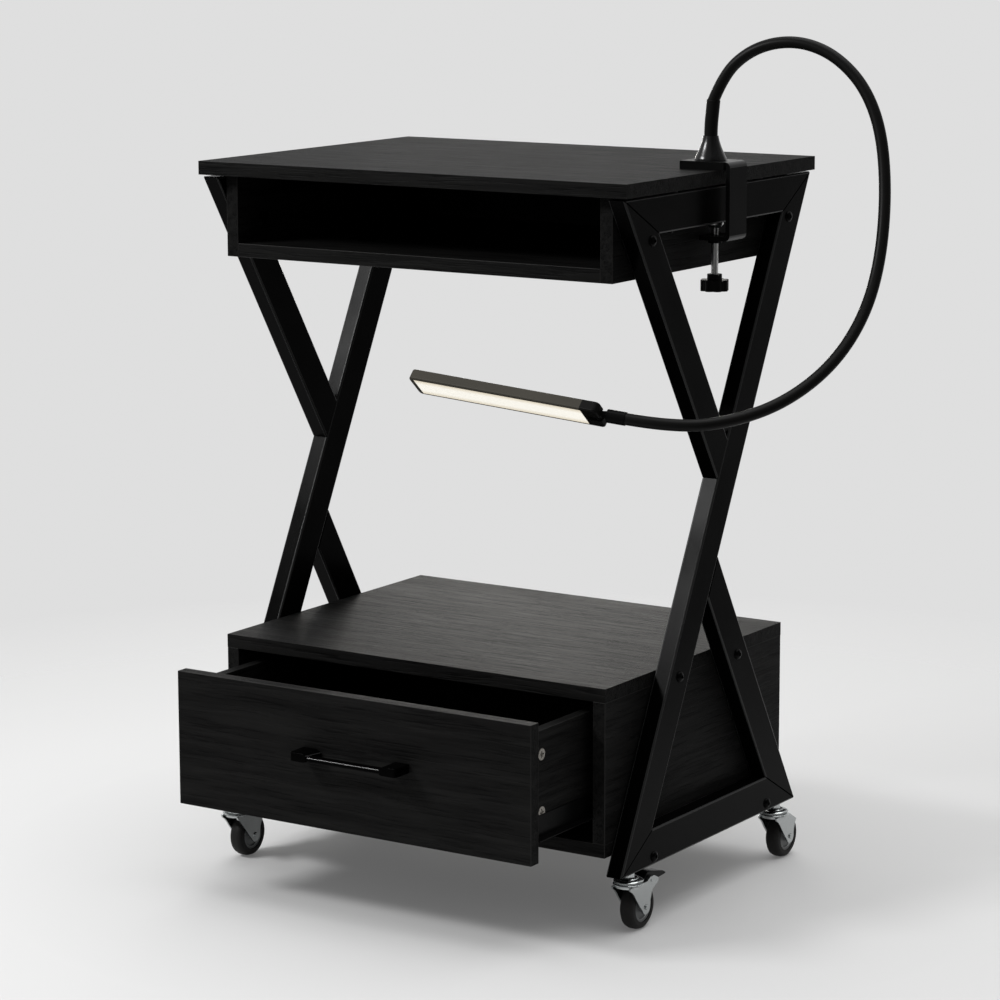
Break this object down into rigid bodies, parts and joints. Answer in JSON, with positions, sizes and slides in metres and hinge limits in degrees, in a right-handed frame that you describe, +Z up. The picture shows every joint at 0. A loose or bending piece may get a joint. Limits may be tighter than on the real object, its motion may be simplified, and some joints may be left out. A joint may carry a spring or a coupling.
{
  "type": "hobby workstation organizer",
  "caption": "Wheeled hobby workstation: small tabletop, open cubby, open bay and a low cabinet with one drawer between two K-shaped tube frames, with a clamp-on gooseneck lamp.",
  "frame": {"origin": "on the floor, below the centre of the tabletop", "axes": "+Z up, front towards -Y, +X to the right of someone who faces the front"},
  "size_m": [0.7575, 0.545, 0.9418],
  "materials": {
    "laminate": "satin",
    "frame_paint": "satin",
    "bolt_black": "satin",
    "zinc": "polished",
    "steel": "satin",
    "runner_black": "satin",
    "nylon_white": "satin",
    "handle_black": "gloss",
    "tyre_rubber": "matte",
    "hub_grey": "satin",
    "pedal_black": "satin",
    "clamp_black": "gloss",
    "neck_black": "matte",
    "lamp_aluminium": "satin",
    "diffuser": "satin",
    "back_board": "matte"
  },
  "bodies": {
    "frame": {"cabinet_back": "back_board", "cabinet_bearers": "frame_paint", "cabinet_floor": "laminate", "cabinet_left_side": "laminate", "cabinet_right_side": "laminate", "cabinet_runners": "runner_black", "cabinet_top": "laminate", "caster_stems": "zinc", "clamp_bracket": "clamp_black", "cubby_back": "back_board", "cubby_floor": "laminate", "cubby_left_side": "laminate", "cubby_right_side": "laminate", "frame_bolts": "bolt_black", "left_bottom_rail": "frame_paint", "left_diagonal": "frame_paint", "left_lower_strut": "frame_paint", "left_top_rail": "frame_paint", "left_upper_strut": "frame_paint", "neck_base": "clamp_black", "right_bottom_rail": "frame_paint", "right_diagonal": "frame_paint", "right_lower_strut": "frame_paint", "right_top_rail": "frame_paint", "right_upper_strut": "frame_paint", "spacer_washers": "bolt_black", "tabletop": "laminate"},
    "fork_front_right": {"fork_front_right": "zinc"},
    "wheel_front_right": {"tyre_front_right": "tyre_rubber", "hub_front_right": "hub_grey"},
    "fork_front_left": {"fork_front_left": "zinc"},
    "wheel_front_left": {"tyre_front_left": "tyre_rubber", "hub_front_left": "hub_grey"},
    "fork_rear_right": {"fork_rear_right": "zinc"},
    "wheel_rear_right": {"tyre_rear_right": "tyre_rubber", "hub_rear_right": "hub_grey"},
    "fork_rear_left": {"fork_rear_left": "zinc"},
    "wheel_rear_left": {"tyre_rear_left": "tyre_rubber", "hub_rear_left": "hub_grey"},
    "brake_front_right": {"brake_front_right": "pedal_black"},
    "brake_front_left": {"brake_front_left": "pedal_black"},
    "drawer": {"drawer_front": "laminate", "drawer_left_side": "laminate", "drawer_right_side": "laminate", "drawer_back": "laminate", "drawer_floor": "back_board", "drawer_handle": "handle_black", "drawer_cams": "zinc", "drawer_runners": "runner_black"},
    "cabinet_rollers": {"cabinet_rollers": "nylon_white"},
    "drawer_rollers": {"drawer_rollers": "nylon_white"},
    "clamp_foot": {"clamp_foot": "clamp_black"},
    "clamp_screw": {"clamp_screw": "steel", "clamp_knob": "clamp_black"},
    "lamp_neck": {"neck_sleeve": "neck_black", "gooseneck": "neck_black", "neck_tip": "neck_black"},
    "lamp_head": {"lamp_head": "lamp_aluminium", "lamp_diffuser": "diffuser"}
  },
  "joints": [
    {"name": "drawer_slide", "type": "slide", "parent": "frame", "child": "drawer", "axis": [0, -1, 0], "range_m": [-0.115, 0.147]},
    {"name": "cabinet_roller_spin", "type": "hinge", "parent": "frame", "child": "cabinet_rollers", "pos_m": [0, -0.174, 0.1155], "axis": [1, 0, 0], "continuous": true},
    {"name": "drawer_roller_spin", "type": "hinge", "parent": "drawer", "child": "drawer_rollers", "pos_m": [0, 0.036, 0.1155], "axis": [1, 0, 0], "continuous": true},
    {"name": "swivel_front_right", "type": "hinge", "parent": "frame", "child": "fork_front_right", "pos_m": [0.26, -0.171, 0.06], "axis": [0, 0, 1], "continuous": true},
    {"name": "roll_front_right", "type": "hinge", "parent": "fork_front_right", "child": "wheel_front_right", "pos_m": [0.26, -0.153, 0.025], "axis": [1, 0, 0], "continuous": true},
    {"name": "swivel_front_left", "type": "hinge", "parent": "frame", "child": "fork_front_left", "pos_m": [-0.26, -0.171, 0.06], "axis": [0, 0, 1], "continuous": true},
    {"name": "roll_front_left", "type": "hinge", "parent": "fork_front_left", "child": "wheel_front_left", "pos_m": [-0.26, -0.153, 0.025], "axis": [1, 0, 0], "continuous": true},
    {"name": "swivel_rear_right", "type": "hinge", "parent": "frame", "child": "fork_rear_right", "pos_m": [0.26, 0.153, 0.06], "axis": [0, 0, 1], "continuous": true},
    {"name": "roll_rear_right", "type": "hinge", "parent": "fork_rear_right", "child": "wheel_rear_right", "pos_m": [0.26, 0.171, 0.025], "axis": [1, 0, 0], "continuous": true},
    {"name": "swivel_rear_left", "type": "hinge", "parent": "frame", "child": "fork_rear_left", "pos_m": [-0.26, 0.153, 0.06], "axis": [0, 0, 1], "continuous": true},
    {"name": "roll_rear_left", "type": "hinge", "parent": "fork_rear_left", "child": "wheel_rear_left", "pos_m": [-0.26, 0.171, 0.025], "axis": [1, 0, 0], "continuous": true},
    {"name": "brake_front_right", "type": "hinge", "parent": "fork_front_right", "child": "brake_front_right", "pos_m": [0.26, -0.142, 0.052], "axis": [-1, 0, 0], "range_deg": [0, 8]},
    {"name": "brake_front_left", "type": "hinge", "parent": "fork_front_left", "child": "brake_front_left", "pos_m": [-0.26, -0.142, 0.052], "axis": [-1, 0, 0], "range_deg": [0, 8]},
    {"name": "clamp_foot_slide", "type": "slide", "parent": "frame", "child": "clamp_foot", "axis": [0, 0, -1], "range_m": [0, 0.006]},
    {"name": "clamp_screw_turn", "type": "hinge", "parent": "clamp_foot", "child": "clamp_screw", "pos_m": [0.26, 0.004, 0.7], "axis": [0, 0, -1], "range_deg": [0, 1729]},
    {"name": "neck_swivel", "type": "hinge", "parent": "frame", "child": "lamp_neck", "pos_m": [0.254, 0.004, 0.83], "axis": [0, 0, 1], "range_deg": [-60, 90]},
    {"name": "head_tilt", "type": "hinge", "parent": "lamp_neck", "child": "lamp_head", "pos_m": [0.27, -0.25, 0.57], "axis": [0.046, -0.778, 0.6266], "range_deg": [-30, 80]}
  ],
  "couplings": [
    {"joint": "cabinet_roller_spin", "follows": "drawer_slide", "rad_per_m": 100},
    {"joint": "drawer_roller_spin", "follows": "drawer_slide", "rad_per_m": 100},
    {"joint": "clamp_screw_turn", "follows": "clamp_foot_slide", "rad_per_m": 5026.6}
  ]
}
